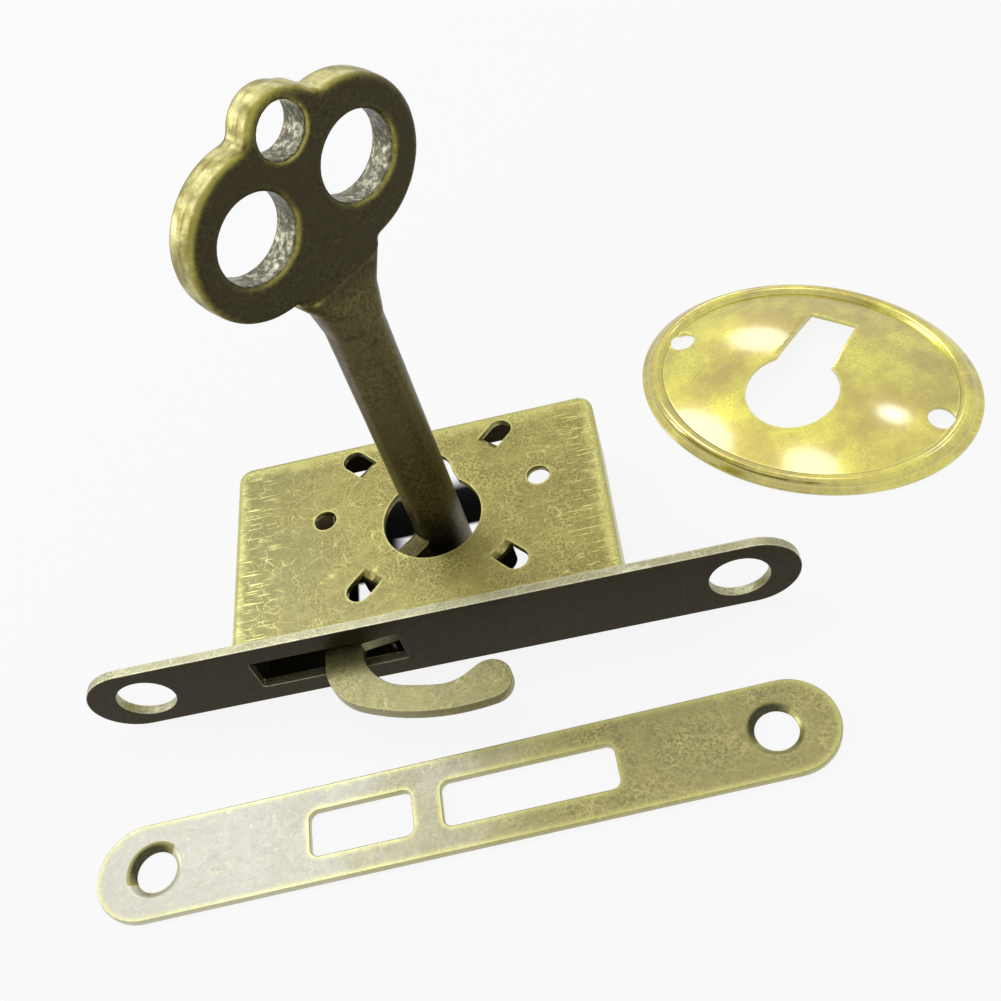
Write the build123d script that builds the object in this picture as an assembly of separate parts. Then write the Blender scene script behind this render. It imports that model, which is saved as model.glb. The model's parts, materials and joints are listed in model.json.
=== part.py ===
from build123d import *
from math import cos, inf, radians, sin
import os

# Furniture lock with a swinging claw bolt, drawn as it lies on a table, in millimetres.
# The origin is the centre of the faceplate's front face. +X runs along the faceplate,
# +Y runs into the case and +Z runs up the key, away from the table.

# Faceplate
plate_length = 78.0
plate_height = 10.0
plate_thick = 1.1
plate_hole_radius = 3.2
plate_hole_inset = 6.45
slot_left = -20.0
slot_right = -3.6
slot_height = 4.8
slot_corner = 0.3

# Case, one folded sheet with four tabs lanced out of its top
case_width = 42.2
case_depth = 24.7
case_recess = 0.3
sheet = 0.8
bend_radius = 0.7
bend_inside = 0.3
far_flange = 3.9
far_corner = 1.7
keyhole_x = 1.7
keyhole_y = 12.85
keyhole_radius = 5.5
keyhole_reach = 9.0
keyhole_tip_radius = 2.6
keyhole_root_half = 3.3
pin_hole_radius = 1.26
pin_hole_offset = 12.2
pin_hole_forward = 2.6
tab_angles = (47, 133, 227, 313)
tab_circle_y = 14.1
tab_start = 9.9
tab_end = 13.9
tab_width = 2.65
tab_bend_inside = 0.2
tab_end_radius = 0.9
lug_width = 3.0
lug_places = (("right", 5.0), ("left", 5.0), ("left", 19.0))

# Back plate, an open strap that carries the posts and the key's tip
back_thick = 0.8
strap_depth = 8.5
column_width = 8.8
column_back = 1.5
strap_corner = 1.5
tongue_width = 4.0
tip_ring_radius = 3.2

# Key
key_axis_x = 2.2
key_axis_y = 13.0
key_turned = 42.6
shank_radius = 2.9
shank_flat = 0.06
tip_radius = 1.65
tip_lift = 0.2
shoulder_lift = 0.4
bow_height = 44.45
bow_thick = 3.2
lobe_radius = 7.7
lobe_out = 4.85
lobe_drop = 0.25
lobe_hole_radius = 3.9
lobe_hole_out = 5.8
crown_radius = 3.5
crown_rise = 6.6
crown_hole_radius = 2.4
crown_hole_rise = 6.6
bow_edge = 0.7
crown_hole_edge = 0.3
lobe_hole_edge = 0.55
bow_valley = 0.8
neck_half = 4.9
neck_thick = 4.0
neck_waist_half = 3.5
neck_waist_thick = 5.2
neck_top = 8.75
neck_waist = 11.1
neck_bottom = 14.2
neck_step = 0.4
neck_corner = 0.3
neck_rounding = 0.9
bit_thick = 2.4
bit_bottom = 2.6
bit_height = 6.0
ward_low = 4.1
ward_height = 1.1
ward_depth = 1.4

# Claw bolt, which swings out through the slot
pivot_x = -2.0
pivot_y = 5.0
pivot_radius = 1.25
claw_lift = 4.2
claw_thick = 1.5
hub_radius = 3.3
tail_radius = 5.2
tail_from = 52.0
tail_to = 138.0
arm_left = -12.0
arm_right = -7.85
arm_root_y = 0.9
claw_swing = 113.4
swing_ratio = 1.8
swing_steps = 96
tail_points = 18
talon_window = 2.4

# Detent cam under the claw, and the leaf spring beside it
cam_radius = 2.2
cam_flat = 1.85
spigot_radius = 1.9
leaf_thick = 0.4
leaf_width = 2.6
leaf_lift = 1.3
leaf_tip_x = -4.7
leaf_curl = 0.3
leaf_post_x = 11.5
leaf_post_radius = 1.0
leaf_post_height = 4.1

# Strike plate
strike_length = 77.3
strike_width = 10.4
strike_thick = 0.8
strike_edge = 0.15
strike_hole_radius = 2.2
strike_sink_radius = 3.1
strike_land = 0.3
strike_hole_inset = 6.35
strike_windows = ((-15.65, -4.9), (-1.75, 16.25))
window_width = 4.9
window_corner = 0.9
strike_x = 0.26
strike_y = -16.65
strike_turned = 2.3

# Escutcheon, pressed from thin sheet with a beaded rim
cover_length = 41.0
cover_width = 32.0
cover_sheet = 0.55
cover_rise = 2.9
rim_height = 0.35
lip_height = 0.75
lip_width = 0.65
bead_top = 1.5
bead_width = 1.5
groove_height = 0.95
cover_hole_radius = 5.4
cover_hole_drop = 3.45
cover_neck_reach = 9.15
cover_neck_half_top = 2.85
cover_neck_half_root = 3.3
cover_neck_shift = -0.5
cover_pin_radius = 1.5
cover_pin_inset = 4.05
cover_x = 46.3
cover_y = 28.6
cover_turned = -39.0

# Clearances
running = 0.07
pivot_clearance = 0.05
fit_gap = 0.05
talon_clearance = 0.15
talon_wall = 0.65
leaf_clearance = 0.1
sheet_gap = 0.1
tab_clearance = 0.3

# Levels and places that follow from the sizes above
floor_z = -plate_height / 2
back_top = floor_z + back_thick
case_top = plate_height / 2 - case_recess
case_under = case_top - sheet
claw_low = floor_z + claw_lift
claw_top = claw_low + claw_thick
case_far = plate_thick + case_depth
plate_hole_spacing = plate_length - 2 * plate_hole_inset
strike_hole_spacing = strike_length - 2 * strike_hole_inset
cover_pin_spacing = cover_length - 2 * cover_pin_inset
column_end = case_depth - column_back
axle_distance = ((key_axis_x - pivot_x) ** 2 + (key_axis_y - pivot_y) ** 2) ** 0.5
bit_reach = axle_distance - spigot_radius - talon_wall - talon_clearance
KEY_AXIS = (key_axis_x, key_axis_y)
KEYHOLE = (keyhole_x, keyhole_y)
PIVOT = (pivot_x, pivot_y)


def prism(face, low, high):
    """A flat outline pulled up from one level to another."""
    return extrude(Pos(0, 0, low) * face, high - low)


def box(x0, x1, y0, y1, z0, z1):
    """A block given by its six sides."""
    return Pos((x0 + x1) / 2, (y0 + y1) / 2, (z0 + z1) / 2) * Box(x1 - x0, y1 - y0, z1 - z0)


def faceplate():
    """Long plate with round ends, two screw holes and the slot for the claw."""
    outline = SlotOverall(plate_length, plate_height)
    slot_width = slot_right - slot_left
    slot = Pos((slot_left + slot_right) / 2, 0) * RectangleRounded(slot_width, slot_height, slot_corner)
    holes = GridLocations(plate_hole_spacing, 0, 2, 1) * Circle(plate_hole_radius)
    plate = extrude(outline - slot - holes, plate_thick)
    # The outline is drawn lying down, then stood up with its front at y = 0.
    return Pos(0, plate_thick, 0) * Rot(90, 0, 0) * plate


def keyhole_outline():
    """Round hole with a notch that narrows to a round end."""
    reach = keyhole_reach - keyhole_tip_radius
    root = (keyhole_radius**2 - keyhole_root_half**2) ** 0.5
    notch = make_face(
        Polyline(
            (-keyhole_root_half, 0),
            (-keyhole_root_half, root),
            (-keyhole_tip_radius, reach),
            (keyhole_tip_radius, reach),
            (keyhole_root_half, root),
            (keyhole_root_half, 0),
            close=True,
        )
    )
    return Circle(keyhole_radius) + notch + Pos(0, reach) * Circle(keyhole_tip_radius)


def tab_opening():
    """The hole that a lanced tab leaves: square towards the key, round outside."""
    end_radius = tab_width / 2
    length = tab_end - tab_start - end_radius
    square = Pos(tab_start + length / 2, 0) * Rectangle(length, tab_width)
    return square + Pos(tab_end - end_radius, 0) * Circle(end_radius)


def tab_solid():
    """One tab: the sheet bends down from its root and ends in a rounded tip."""
    outer = tab_bend_inside + sheet
    bend_z = case_top - outer
    low = claw_top + tab_clearance
    ring = Circle(outer) - Circle(tab_bend_inside)
    corner = ring & Pos(outer / 2, outer / 2) * Rectangle(outer, outer)
    leg_height = bend_z - low
    leg = Pos((tab_bend_inside + outer) / 2, -leg_height / 2) * Rectangle(sheet, leg_height)
    side = Plane.XZ * (corner + leg)
    tab = extrude(side, tab_width / 2, both=True)
    feet = tab.edges().filter_by(Axis.X).group_by(Axis.Z)[0]
    return Pos(tab_start, 0, bend_z) * fillet(feet, tab_end_radius)


def case_shell(inset, round_radius):
    """Block with two rounded far corners and one rounding round its top."""
    width = case_width - 2 * inset
    depth = case_depth - inset
    height = case_top - inset - back_top
    block = Pos(0, plate_thick + depth / 2, back_top + height / 2) * Box(width, depth, height)
    corners = block.edges().filter_by(Axis.Z).group_by(Axis.Y)[-1]
    block = fillet(corners, far_corner - inset)
    rim = [e for e in block.edges().group_by(Axis.Z)[-1] if e.center().Y > plate_thick + 0.01]
    return fillet(rim, round_radius)


def case_body():
    """Folded sheet: top, two side walls, a short far flange, and lugs at the foot."""
    body = case_shell(0, bend_radius) - case_shell(sheet, bend_inside)
    half = case_width / 2 - far_corner
    body -= box(-half, half, case_far - 2 * sheet, case_far + sheet, back_top - 1, case_top - far_flange)

    def through(face):
        return prism(face, case_under - sheet, case_top + sheet)

    body -= through(Pos(*KEYHOLE) * keyhole_outline())
    for side in (-1, 1):
        pin = Pos(keyhole_x + side * pin_hole_offset, keyhole_y + pin_hole_forward)
        body -= through(pin * Circle(pin_hole_radius))
    for angle in tab_angles:
        place = Pos(keyhole_x, tab_circle_y) * Rot(0, 0, angle)
        body -= through(place * tab_opening())
        body += place * tab_solid()
    for side, y in lug_places:
        x = case_width / 2 - sheet / 2
        x = x if side == "right" else -x
        body += box(x - sheet / 2, x + sheet / 2, y - lug_width / 2, y + lug_width / 2, floor_z, back_top)
    return body


def back_plate():
    """Strap behind the faceplate, with a side column and a tongue for the key's tip."""
    half = case_width / 2
    strap_far = plate_thick + strap_depth
    strap = Pos(0, plate_thick + strap_depth / 2) * Rectangle(case_width, strap_depth)
    column = Pos(-half + column_width / 2, plate_thick + column_end / 2) * Rectangle(column_width, column_end)
    outline = strap + column
    inside = outline.vertices().sort_by_distance((-half + column_width, strap_far))[0]
    outline = fillet(inside, strap_corner)
    tongue = Pos(key_axis_x, (strap_far + key_axis_y) / 2) * Rectangle(tongue_width, key_axis_y - strap_far)
    outline += tongue + Pos(*KEY_AXIS) * Circle(tip_ring_radius)
    outline -= Pos(*KEY_AXIS) * Circle(tip_radius + running)
    outline -= Pos(*PIVOT) * Circle(pivot_radius)
    outline -= Pos(leaf_post_x, leaf_post_y()) * Circle(leaf_post_radius)
    for side, y in lug_places:
        x = half - sheet / 2
        x = x if side == "right" else -x
        outline -= Pos(x, y) * Rectangle(sheet + 2 * fit_gap, lug_width + 2 * fit_gap)
    return prism(outline, floor_z, back_top)


def leaf_face_y():
    """The leaf's face towards the cam: it just clears the cam's round part."""
    return pivot_y - cam_radius - leaf_clearance


def leaf_post_y():
    """The spring's eye wraps its post, so the post stands beside the leaf's face."""
    return leaf_face_y() + leaf_post_radius + fit_gap


def claw_post():
    """Pin through the back plate and the claw, up to the case's top."""
    return Pos(*PIVOT) * prism(Circle(pivot_radius), floor_z, case_under - sheet_gap)


def spring_post():
    """Pin that carries the leaf spring's eye, with a low head."""
    post = prism(Circle(leaf_post_radius), floor_z, floor_z + leaf_post_height)
    head = prism(Circle(leaf_post_radius + 2 * leaf_thick), floor_z + leaf_post_height, claw_low + claw_thick)
    return Pos(leaf_post_x, leaf_post_y()) * (post + head)


def leaf_spring():
    """Strip spring: a curled tip, a straight leaf and an eye round its post."""
    face_y = leaf_face_y()
    post_y = leaf_post_y()
    eye_inside = leaf_post_radius + fit_gap
    leaf = Pos((leaf_tip_x + leaf_post_x) / 2, face_y - leaf_thick / 2) * Rectangle(
        leaf_post_x - leaf_tip_x, leaf_thick
    )
    eye = Circle(eye_inside + leaf_thick) - Circle(eye_inside)
    gap = Pos(-eye_inside, 0) * Rectangle(2 * eye_inside, 2 * (eye_inside + leaf_thick))
    gap &= Pos(-eye_inside, -eye_inside / 2) * Rectangle(2 * eye_inside, eye_inside + 2 * leaf_thick)
    eye = Pos(leaf_post_x, post_y) * (eye - gap)
    curl_outside = leaf_curl + leaf_thick
    ring = Circle(curl_outside) - Circle(leaf_curl)
    half_ring = ring & Pos(-curl_outside / 2, 0) * Rectangle(curl_outside, 2 * curl_outside)
    curl = Pos(leaf_tip_x, face_y - curl_outside) * half_ring
    outline = leaf + eye + curl
    return prism(outline, floor_z + leaf_lift, floor_z + leaf_lift + leaf_width)


def hook_outline():
    """The claw as it shows outside the faceplate, from its root to its tip."""
    root_right = (arm_right, arm_root_y)
    root_left = (arm_left, arm_root_y)
    bend_start = (arm_left, -0.85)
    bend_end = (-8.35, -6.62)
    back_end = (5.95, -8.6)
    tip = (5.5, -4.1)
    side = Line(root_left, bend_start)
    bend = TangentArc(bend_start, bend_end, tangent=side % 1)
    back = TangentArc(bend_end, back_end, tangent=bend % 1)
    point = TangentArc(back_end, tip, tangent=back % 1)
    throat = Spline(
        [tip, (3.8, -4.75), (1.7, -5.75), (-1.8, -5.5), (-5.5, -4.2), (-7.4, -1.8), root_right],
        tangents=[(-1, 0), (0, 1)],
    )
    return make_face(side + bend + back + point + throat + Line(root_right, root_left))


def first_hit(origin, heading, axis, angle, reach, half):
    """How far a ray runs before it meets a bar that starts on an axis."""
    dx = origin[0] - axis[0]
    dy = origin[1] - axis[1]
    ca, sa = cos(radians(angle)), sin(radians(angle))
    ch, sh = cos(radians(heading - angle)), sin(radians(heading - angle))
    along, across = dx * ca + dy * sa, dy * ca - dx * sa
    near, far = 0, inf
    for start, move, low, high in ((along, ch, 0, reach), (across, sh, -half, half)):
        if abs(move) < 1e-9:
            if not low <= start <= high:
                return inf
            continue
        ends = sorted(((low - start) / move, (high - start) / move))
        near, far = max(near, ends[0]), min(far, ends[1])
    return near if near <= far else inf


def disc_hit(origin, heading, axis, radius):
    """How far a ray runs before it meets a disc."""
    dx = axis[0] - origin[0]
    dy = axis[1] - origin[1]
    along = dx * cos(radians(heading)) + dy * sin(radians(heading))
    inside = radius**2 - (dx**2 + dy**2 - along**2)
    return along - inside**0.5 if inside > 0 and along > 0 else inf


def free_radius(heading):
    """Radius about the pivot that the key and the faceplate leave to the claw."""
    reach = bit_reach + talon_clearance
    half = bit_thick / 2 + talon_clearance
    limit = tail_radius
    for step in range(swing_steps + 1):
        swung = claw_swing * step / swing_steps
        fixed = heading - swung
        bit_angle = key_turned + 180 + swung / swing_ratio
        limit = min(limit, first_hit(PIVOT, fixed, KEY_AXIS, bit_angle, reach, half))
        limit = min(limit, disc_hit(PIVOT, fixed, KEY_AXIS, shank_radius + talon_clearance))
        drop = -sin(radians(fixed))
        if drop > 0:
            limit = min(limit, (pivot_y - plate_thick - talon_clearance) / drop)
    return limit


def tail_outline():
    """The tail with the talon that the key's bit runs in, as one smooth cam line."""
    count = tail_points
    points = []
    for i in range(count + 1):
        heading = tail_from + (tail_to - tail_from) * i / count
        radius = min(free_radius(heading + k * talon_window / 4) for k in range(-4, 5))
        points.append((pivot_x + radius * cos(radians(heading)), pivot_y + radius * sin(radians(heading))))
    edge = Spline(points)
    return make_face(edge + Line(points[-1], PIVOT) + Line(PIVOT, points[0]))


def claw_outline():
    """Claw, arm, hub and tail in one flat shape."""
    hub = Pos(*PIVOT) * Circle(hub_radius)
    root = Line((arm_left, arm_root_y), (arm_right, arm_root_y))
    arm = make_hull(hub.edges() + root.edges())
    wide = 4 * tail_radius
    middle = (tail_from + tail_to) / 2
    wedge = [PIVOT]
    for angle in (tail_from, middle, tail_to):
        wedge.append((pivot_x + wide * cos(radians(angle)), pivot_y + wide * sin(radians(angle))))
    return hook_outline() + (arm + hub - make_face(Polyline(*wedge, close=True))) + tail_outline()


def claw_bolt():
    """The claw plate with its seat for the cam's spigot."""
    outline = claw_outline() - Pos(*PIVOT) * Circle(spigot_radius)
    return prism(outline, claw_low, claw_top)


def detent_cam():
    """Sleeve pressed into the claw, with a flat for each end of the swing."""
    cam_low = back_top + sheet_gap
    cam = Circle(cam_radius)
    for angle in (-90, -90 + claw_swing):
        far = cam_flat + cam_radius / 2
        cam -= Rot(0, 0, angle) * Pos(far, 0) * Rectangle(cam_radius, 2 * cam_radius)
    sleeve = prism(cam, cam_low, claw_low) + prism(Circle(spigot_radius), claw_low, claw_top)
    bore = prism(Circle(pivot_radius + pivot_clearance), cam_low - 1, claw_top + 1)
    return Pos(*PIVOT) * (sleeve - bore)


def key_bow():
    """Flat cast bow of three rings, upright in its own plane, down to the head of the neck."""
    outline = Pos(0, crown_rise) * Circle(crown_radius)
    for side in (-1, 1):
        outline += Pos(side * lobe_out, -lobe_drop) * Circle(lobe_radius)
    foot = neck_top - neck_step / 2
    outline += Pos(0, -foot / 2) * Rectangle(2 * neck_half, foot)
    corners = outline.vertices()
    outline = fillet([v for v in corners if v.Y > 0], bow_valley)
    corners = outline.vertices()
    outline = fillet([v for v in corners if -foot < v.Y - 0.1 < -foot / 2], neck_corner)
    holes = Pos(0, crown_hole_rise) * Circle(crown_hole_radius)
    for side in (-1, 1):
        holes += Pos(side * lobe_hole_out, 0) * Circle(lobe_hole_radius)
    slab = extrude(outline, bow_thick / 2, both=True)
    rims = [e for e in slab.edges() if abs(abs(e.center().Z) - bow_thick / 2) < 0.01]
    rims = [e for e in rims if e.center().Y > -foot + 0.01]
    slab = fillet(rims, bow_edge)
    slab -= extrude(holes, bow_thick, both=True)
    mouths = slab.edges().filter_by(GeomType.CIRCLE)
    mouths = [e for e in mouths if abs(abs(e.center().Z) - bow_thick / 2) < 0.01 and e.is_closed]
    slab = fillet([e for e in mouths if e.radius < lobe_hole_radius - 0.01], crown_hole_edge)
    mouths = slab.edges().filter_by(GeomType.CIRCLE)
    mouths = [e for e in mouths if abs(abs(e.center().Z) - bow_thick / 2) < 0.01 and e.is_closed]
    mouths = [e for e in mouths if abs(e.radius - lobe_hole_radius) < 0.01]
    return Rot(90, 0, 0) * fillet(mouths, lobe_hole_edge)


def key_neck():
    """The neck that widens from the round shank to the bow and ends there in a small step."""
    sizes = (
        (neck_bottom, shank_radius, 2 * shank_radius),
        (neck_waist, neck_waist_half, neck_waist_thick),
        (neck_top, neck_half, neck_thick),
        (neck_top - neck_step, neck_half, bow_thick),
    )
    sections = []
    for drop, half, thick in sizes:
        section = RectangleRounded(2 * half, thick, neck_rounding * thick / 2)
        sections.append(Pos(0, 0, -drop) * section)
    return loft(sections, ruled=True)


def key():
    """One casting: bow, neck, round shank, bit and a thin tip that turns in the back plate."""
    bow_z = case_top + bow_height
    shank_low = back_top + shoulder_lift
    neck_z = bow_z - neck_bottom
    shank = prism(Circle(shank_radius), shank_low, neck_z)
    flat = shank_radius - shank_flat
    shank &= box(-flat, flat, -flat * 2, flat * 2, shank_low - 1, neck_z + 1)
    tip = prism(Circle(tip_radius), floor_z + tip_lift, shank_low)
    bit_low = floor_z + bit_bottom
    bit = box(-bit_reach, 0, -bit_thick / 2, bit_thick / 2, bit_low, bit_low + bit_height)
    ward = bit_low + ward_low
    bit -= box(-bit_reach - 1, -bit_reach + ward_depth, -bit_thick, bit_thick, ward, ward + ward_height)
    body = Pos(0, 0, bow_z) * (key_bow() + key_neck()) + shank + tip + bit
    return Pos(*KEY_AXIS) * Rot(0, 0, key_turned) * body


def strike_plate():
    """Flat plate with round ends, two windows for the claw and countersunk holes."""
    outline = SlotOverall(strike_length, strike_width)
    for left, right in strike_windows:
        window = RectangleRounded(right - left, window_width, window_corner)
        outline -= Pos((left + right) / 2, 0) * window
    plate = extrude(outline, strike_thick)
    plate = fillet(plate.edges().group_by(Axis.Z)[-1], strike_edge)
    for side in (-1, 1):
        place = Pos(side * strike_hole_spacing / 2, 0)
        plate -= place * prism(Circle(strike_hole_radius), -1, strike_thick + 1)
        sink = Cone(strike_hole_radius, strike_sink_radius, strike_thick - strike_land)
        plate -= place * Pos(0, 0, (strike_thick + strike_land) / 2) * sink
    return Pos(strike_x, strike_y, floor_z) * Rot(0, 0, strike_turned) * plate


def escutcheon():
    """Oval cover for the front of the drawer: domed sheet, rolled rim, keyhole, pin holes."""
    rim = cover_width / 2
    bead_end = rim - lip_width
    groove = bead_end - bead_width
    bead_middle = bead_end - bead_width / 2
    under_groove = groove - cover_sheet / 4
    bead_inside = rim - cover_sheet
    top_dome = arc_from_axis(groove, groove_height, cover_rise)
    under_dome = arc_from_axis(under_groove, groove_height - cover_sheet, cover_rise - cover_sheet)
    section = make_face(
        Line((0, cover_rise - cover_sheet), (0, cover_rise))
        + top_dome
        + ThreePointArc((groove, groove_height), (bead_middle, bead_top), (bead_end, lip_height))
        + Line((bead_end, lip_height), (rim, rim_height))
        + Line((rim, rim_height), (rim, 0))
        + Line((rim, 0), (bead_inside, 0))
        + ThreePointArc(
            (bead_inside, 0),
            (bead_middle, bead_top - cover_sheet),
            (under_groove, groove_height - cover_sheet),
        )
        + under_dome
    )
    shell = revolve(Plane.XZ * section, Axis.Z)
    shell = scale(shell, (cover_length / cover_width, 1, 1))
    neck = make_face(
        Polyline(
            (-cover_neck_half_root, -cover_hole_drop),
            (-cover_neck_half_root, cover_hole_radius - cover_hole_drop - 1),
            (-cover_neck_half_top, cover_neck_reach),
            (cover_neck_half_top, cover_neck_reach),
            (cover_neck_half_root, cover_hole_radius - cover_hole_drop - 1),
            (cover_neck_half_root, -cover_hole_drop),
            close=True,
        )
    )
    opening = Pos(cover_neck_shift, 0) * neck + Pos(0, -cover_hole_drop) * Circle(cover_hole_radius)
    opening += GridLocations(cover_pin_spacing, 0, 2, 1) * Circle(cover_pin_radius)
    shell -= prism(opening, -1, cover_rise + 1)
    return Pos(cover_x, cover_y, floor_z) * Rot(0, 0, cover_turned) * shell


def arc_from_axis(radius, low, high):
    """An arc from the axis, level there, down to the given radius and height."""
    drop = high - low
    bend = (radius**2 + drop**2) / (2 * drop)
    half = (radius / 2, high - bend + (bend**2 - (radius / 2) ** 2) ** 0.5)
    return ThreePointArc((0, high), half, (radius, low))


PARTS = {
    "faceplate": faceplate,
    "case_body": case_body,
    "back_plate": back_plate,
    "claw_bolt": claw_bolt,
    "detent_cam": detent_cam,
    "claw_post": claw_post,
    "leaf_spring": leaf_spring,
    "spring_post": spring_post,
    "key": key,
    "strike_plate": strike_plate,
    "escutcheon": escutcheon,
}


def main():
    """Write each piece to its own file."""
    os.makedirs("parts", exist_ok=True)
    for name, make in PARTS.items():
        export_step(make(), f"parts/{name}.step")


main()
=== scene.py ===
"""Looks of a small furniture lock in antique brass.

The lock lies on a pale table with its key in the keyhole and its claw swung out. The strike
plate and the oval keyhole cover lie beside it. Each sub-assembly is a class that builds its
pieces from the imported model, rounds their edges and gives them their finish.
"""
from __future__ import annotations

import json
import logging
import math
from collections.abc import Callable
from dataclasses import dataclass
from enum import Enum
from typing import NamedTuple

import bmesh
import bpy
from mathutils import Matrix, Vector, noise

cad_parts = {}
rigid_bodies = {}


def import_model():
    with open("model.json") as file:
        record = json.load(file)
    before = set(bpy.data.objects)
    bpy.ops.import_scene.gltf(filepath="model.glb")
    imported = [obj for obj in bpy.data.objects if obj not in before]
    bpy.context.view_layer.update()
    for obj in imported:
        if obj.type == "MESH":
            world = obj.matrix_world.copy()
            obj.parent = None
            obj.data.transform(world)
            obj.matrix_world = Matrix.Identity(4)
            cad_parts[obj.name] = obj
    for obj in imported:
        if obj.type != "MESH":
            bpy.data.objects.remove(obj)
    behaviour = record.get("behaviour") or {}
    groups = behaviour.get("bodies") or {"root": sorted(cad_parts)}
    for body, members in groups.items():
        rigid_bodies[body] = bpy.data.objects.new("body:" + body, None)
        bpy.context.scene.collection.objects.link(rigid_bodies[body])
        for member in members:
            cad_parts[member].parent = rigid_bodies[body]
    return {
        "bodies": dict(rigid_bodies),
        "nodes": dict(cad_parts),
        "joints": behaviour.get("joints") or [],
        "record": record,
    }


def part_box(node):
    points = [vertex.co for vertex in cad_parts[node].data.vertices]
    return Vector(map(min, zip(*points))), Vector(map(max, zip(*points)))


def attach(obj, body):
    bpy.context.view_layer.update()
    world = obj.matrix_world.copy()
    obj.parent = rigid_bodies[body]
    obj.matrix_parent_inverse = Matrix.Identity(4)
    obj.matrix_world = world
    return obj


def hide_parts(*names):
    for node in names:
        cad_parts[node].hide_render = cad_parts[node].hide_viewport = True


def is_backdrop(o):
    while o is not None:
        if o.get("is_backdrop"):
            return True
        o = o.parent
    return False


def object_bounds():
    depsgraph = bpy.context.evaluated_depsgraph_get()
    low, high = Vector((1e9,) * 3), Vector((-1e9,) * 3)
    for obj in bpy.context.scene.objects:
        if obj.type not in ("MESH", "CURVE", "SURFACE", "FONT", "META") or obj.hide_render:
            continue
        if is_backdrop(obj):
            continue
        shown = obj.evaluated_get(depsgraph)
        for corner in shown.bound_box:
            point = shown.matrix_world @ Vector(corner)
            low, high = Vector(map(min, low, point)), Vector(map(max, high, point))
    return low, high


LOG = logging.getLogger("furniture_lock")
MM = 0.001
Span = tuple[float, float]
Point = tuple[float, float, float]
Colour = tuple[float, float, float]
Tree = bpy.types.NodeTree
Socket = bpy.types.NodeSocket
Outputs = bpy.types.NodeOutputs
Piece = bpy.types.Object
Shape = bmesh.types.BMesh
Face = bmesh.types.BMFace
Vert = bmesh.types.BMVert
Picker = Callable[[Face], bool]
# The side that the strike's countersink walls with painted shade face.
SINK_SIDE = (0.6, -0.8)


class Body(Enum):
    """The bodies that pieces ride on."""

    LOCK = "lock"
    CLAW = "claw"
    KEY = "key"


class Slot(Enum):
    """The record's material slots."""

    PLATE = "plate_brass"
    CASE = "case_brass"
    CLAW = "claw_brass"
    STRIKE = "strike_brass"
    COVER = "cover_brass"
    KEY = "key_brass"


class Zone(Enum):
    """The key's own attributes, which say where its skin changes."""

    # Wear on bulges, scaled by a painted highlight from the upper left.
    WEAR = "wear"
    OUTER = "outer_wall"
    HOLE = "hole_wall"
    SHANK = "shank"


def srgb(*channels: int) -> Colour:
    """Turn a display colour into the linear one that shaders take.

    Args:
        *channels: Its red, green and blue from 0 to 255.

    Returns:
        The linear red, green and blue.
    """
    shares = [channel / 255 for channel in channels]
    return tuple(part / 12.92 if part <= 0.04045 else ((part + 0.055) / 1.055) ** 2.4 for part in shares)


def clamp(value: float, low: float = 0.0) -> float:
    """Return a value held between a lower bound and 1."""
    return min(max(value, low), 1)


def add_object(name: str, data: bpy.types.ID) -> Piece:
    """Put a new object in the scene.

    Args:
        name: The object's name.
        data: Its mesh, lamp or camera data.

    Returns:
        The object.
    """
    made = bpy.data.objects.new(name, data)
    bpy.context.scene.collection.objects.link(made)
    return made


def mesh_object(name: str, shape: Shape) -> Piece:
    """Turn a shape into an object.

    Args:
        name: The name of the object and its mesh.
        shape: The shape, which is used up.

    Returns:
        The object.
    """
    mesh = bpy.data.meshes.new(name)
    shape.to_mesh(mesh)
    shape.free()
    return add_object(name, mesh)


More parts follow.
